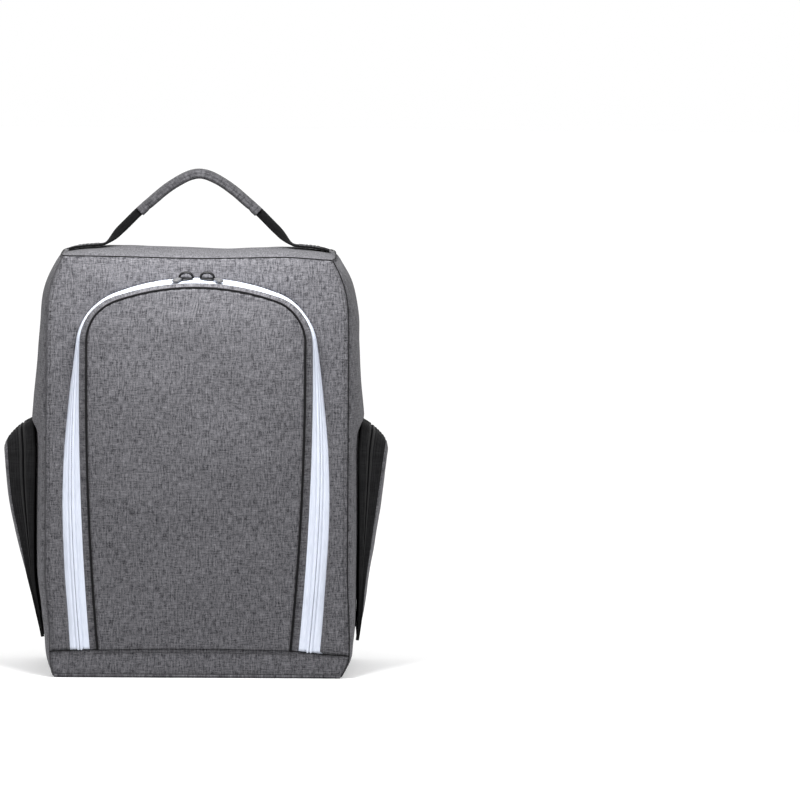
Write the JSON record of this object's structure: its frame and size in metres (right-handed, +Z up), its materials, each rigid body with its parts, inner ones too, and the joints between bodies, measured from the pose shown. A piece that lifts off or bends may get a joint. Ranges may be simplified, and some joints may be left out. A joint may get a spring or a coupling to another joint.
{
  "type": "zip-up shoe bag",
  "caption": "Upright fabric shoe bag with a drop-down zipped front door, zipped bulging side pockets and a padded grab handle on top.",
  "frame": {"origin": "on the floor, at the middle of the bag's overall footprint", "axes": "+Z up, -Y out of the front door, +X to the right seen from the front"},
  "size_m": [0.3206, 0.167, 0.4191],
  "materials": {
    "heather_fabric": "heather grey woven polyester over foam, matt",
    "black_fabric": "black woven polyester, matt",
    "black_webbing": "black ribbed webbing, slight sheen",
    "lining_fabric": "dark grey nylon lining, slight sheen",
    "white_zip_tape": "white woven zip tape, matt",
    "white_zip_coil": "nylon coil, satin",
    "black_zip_tape": "black woven zip tape, matt",
    "black_metal": "black painted zinc, semi-gloss",
    "pull_tab": "light grey moulded rubbery plastic",
    "base_board": "black plastic sheet"
  },
  "bodies": {
    "bag": {"base_panel": "heather_fabric", "base_board": "base_board", "front_base_band": "heather_fabric", "back_panel": "heather_fabric", "front_panel": "heather_fabric", "top_panel": "heather_fabric", "side_panel_left": "heather_fabric", "side_panel_right": "heather_fabric", "main_lining": "lining_fabric", "zip_tape_bag": "white_zip_tape", "zip_coil_bag": "white_zip_coil", "webbing_tail_left": "black_webbing", "webbing_tail_right": "black_webbing", "pocket_left_gusset": "black_fabric", "pocket_left_zip_tape_bag": "black_zip_tape", "pocket_right_gusset": "black_fabric", "pocket_right_zip_tape_bag": "black_zip_tape"},
    "door": {"door_panel": "heather_fabric", "door_lining": "lining_fabric", "door_piping": "black_webbing", "door_gusset": "heather_fabric", "zip_tape_door": "white_zip_tape", "zip_coil_door": "white_zip_coil"},
    "handle": {"handle_webbing": "black_webbing", "grip_wrap": "heather_fabric"},
    "main_slider_left": {"slider_left": "black_metal"},
    "main_pull_left": {"pull_left_ring": "black_metal", "pull_left_tab": "pull_tab"},
    "pocket_flap_left": {"pocket_left_zip_tape_flap": "black_zip_tape", "pocket_left_flap_gusset": "black_fabric", "pocket_left_face": "heather_fabric"},
    "side_slider_left": {"pocket_left_slider": "black_metal"},
    "side_pull_left": {"pocket_left_pull_ring": "black_metal", "pocket_left_pull_tab": "pull_tab"},
    "main_slider_right": {"slider_right": "black_metal"},
    "main_pull_right": {"pull_right_ring": "black_metal", "pull_right_tab": "pull_tab"},
    "pocket_flap_right": {"pocket_right_zip_tape_flap": "black_zip_tape", "pocket_right_flap_gusset": "black_fabric", "pocket_right_face": "heather_fabric"},
    "side_slider_right": {"pocket_right_slider": "black_metal"},
    "side_pull_right": {"pocket_right_pull_ring": "black_metal", "pocket_right_pull_tab": "pull_tab"}
  },
  "joints": [
    {"name": "door_hinge", "type": "hinge", "parent": "bag", "child": "door", "pos_m": [0, -0.083, 0.023], "axis": [1, 0, 0], "range_deg": [0, 93]},
    {"name": "handle_hinge", "type": "hinge", "parent": "bag", "child": "handle", "pos_m": [0, 0.011, 0.3583], "axis": [1, 0, 0], "range_deg": [-75, 75]},
    {"name": "main_slider_left_travel", "type": "hinge", "parent": "door", "child": "main_slider_left", "pos_m": [0, -0.06524, 0.13441], "axis": [0, -1, 0], "range_deg": [0, 15]},
    {"name": "main_pull_left_hinge", "type": "hinge", "parent": "main_slider_left", "child": "main_pull_left", "pos_m": [-0.01144, -0.06561, 0.33246], "axis": [-0.006, 0.9909, 0.1342], "range_deg": [0, 110]},
    {"name": "pocket_flap_left_hinge", "type": "hinge", "parent": "bag", "child": "pocket_flap_left", "pos_m": [-0.1325, 0.005, 0.04], "axis": [0, -1, 0], "range_deg": [0, 60]},
    {"name": "side_slider_left_travel", "type": "slide", "parent": "bag", "child": "side_slider_left", "axis": [0.0669, 0, -0.9978], "range_m": [0, 0.065]},
    {"name": "side_pull_left_hinge", "type": "hinge", "parent": "side_slider_left", "child": "side_pull_left", "pos_m": [-0.14189, 0.0583, 0.16541], "axis": [0.9978, 0, 0.0669], "range_deg": [0, 110]},
    {"name": "main_slider_right_travel", "type": "hinge", "parent": "door", "child": "main_slider_right", "pos_m": [0, -0.06524, 0.13441], "axis": [0, 1, 0], "range_deg": [0, 15]},
    {"name": "main_pull_right_hinge", "type": "hinge", "parent": "main_slider_right", "child": "main_pull_right", "pos_m": [0.01144, -0.06561, 0.33246], "axis": [-0.006, -0.9909, -0.1342], "range_deg": [0, 110]},
    {"name": "pocket_flap_right_hinge", "type": "hinge", "parent": "bag", "child": "pocket_flap_right", "pos_m": [0.1325, 0.005, 0.04], "axis": [0, 1, 0], "range_deg": [0, 60]},
    {"name": "side_slider_right_travel", "type": "slide", "parent": "bag", "child": "side_slider_right", "axis": [-0.0669, 0, -0.9978], "range_m": [0, 0.065]},
    {"name": "side_pull_right_hinge", "type": "hinge", "parent": "side_slider_right", "child": "side_pull_right", "pos_m": [0.14189, 0.0583, 0.16541], "axis": [0.9978, 0, -0.0669], "range_deg": [0, 110]}
  ]
}
